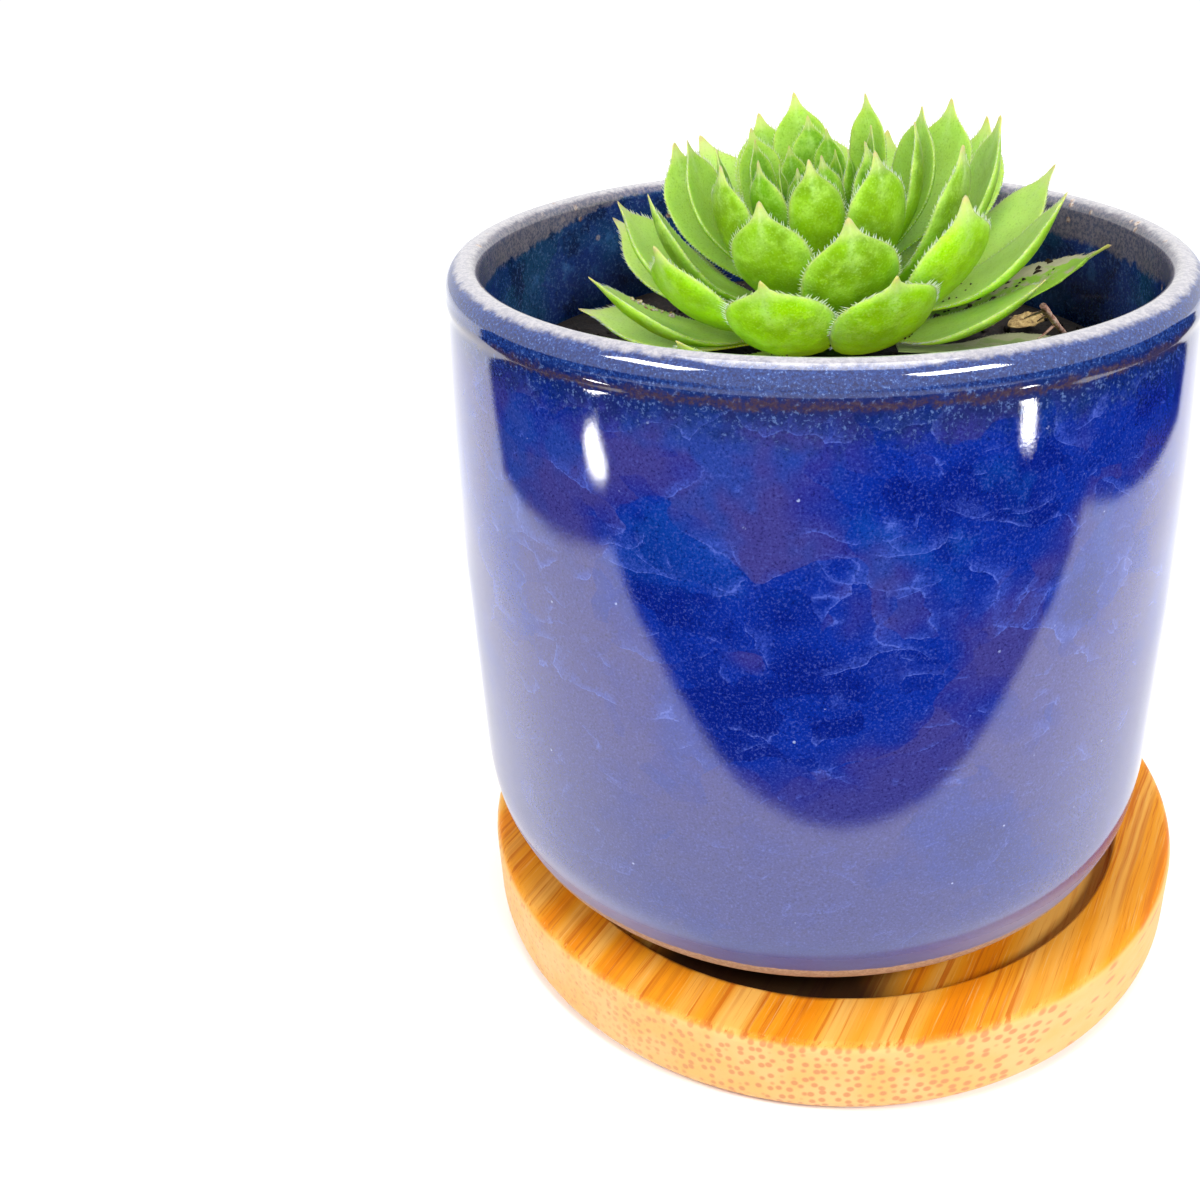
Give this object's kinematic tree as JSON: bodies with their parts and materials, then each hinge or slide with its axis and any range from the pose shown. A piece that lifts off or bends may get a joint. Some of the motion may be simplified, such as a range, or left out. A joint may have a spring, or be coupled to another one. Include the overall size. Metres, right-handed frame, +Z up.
{
  "type": "potted houseleek",
  "caption": "Houseleek rosette of fleshy pointed leaves growing in soil, in a glossy cobalt-blue glazed round pot that stands in the shallow recess of a round bamboo saucer.",
  "frame": {"origin": "centre of the saucer's flat underside", "axes": "+Z up, -Y is the front, +X is the right-hand side seen from the front"},
  "size_m": [0.0854, 0.0854, 0.0949],
  "materials": {
    "bamboo": "smooth, lightly oiled",
    "cobalt_glaze": "glossy crackle glaze, bare clay at the foot",
    "soil": "crumbly, matt",
    "stem": "matt",
    "old_leaf": "satin, dried edge",
    "leaf_outer": "satin, fleshy",
    "leaf_middle": "satin, fleshy",
    "leaf_inner": "satin, fleshy",
    "dead_leaf": "withered, matt",
    "twig": "dry, matt",
    "dry_flake": "dry, matt"
  },
  "bodies": {
    "root": {"saucer": "bamboo", "pot": "cobalt_glaze", "soil": "soil", "stem": "stem", "old_leaf": "old_leaf", "leaf_01": "leaf_outer", "leaf_02": "leaf_outer", "leaf_03": "leaf_outer", "leaf_04": "leaf_outer", "leaf_05": "leaf_outer", "leaf_06": "leaf_outer", "leaf_07": "leaf_outer", "leaf_08": "leaf_outer", "leaf_09": "leaf_outer", "leaf_10": "leaf_outer", "leaf_11": "leaf_outer", "leaf_12": "leaf_outer", "leaf_13": "leaf_outer", "leaf_14": "leaf_outer", "leaf_15": "leaf_outer", "leaf_16": "leaf_outer", "leaf_17": "leaf_outer", "leaf_18": "leaf_middle", "leaf_19": "leaf_middle", "leaf_20": "leaf_middle", "leaf_21": "leaf_middle", "leaf_22": "leaf_middle", "leaf_23": "leaf_middle", "leaf_24": "leaf_middle", "leaf_25": "leaf_middle", "leaf_26": "leaf_middle", "leaf_27": "leaf_middle", "leaf_28": "leaf_middle", "leaf_29": "leaf_middle", "leaf_30": "leaf_middle", "leaf_31": "leaf_middle", "leaf_32": "leaf_middle", "leaf_33": "leaf_middle", "leaf_34": "leaf_middle", "leaf_35": "leaf_inner", "leaf_36": "leaf_inner", "leaf_37": "leaf_inner", "leaf_38": "leaf_inner", "leaf_39": "leaf_inner", "leaf_40": "leaf_inner", "leaf_41": "leaf_inner", "leaf_42": "leaf_inner", "leaf_43": "leaf_inner", "leaf_44": "leaf_inner", "leaf_45": "leaf_inner", "leaf_46": "leaf_inner", "leaf_47": "leaf_inner", "leaf_48": "leaf_inner", "leaf_49": "leaf_inner", "leaf_50": "leaf_inner", "dead_leaf": "dead_leaf", "twig": "twig", "dry_flake": "dry_flake"}
  },
  "joints": []
}
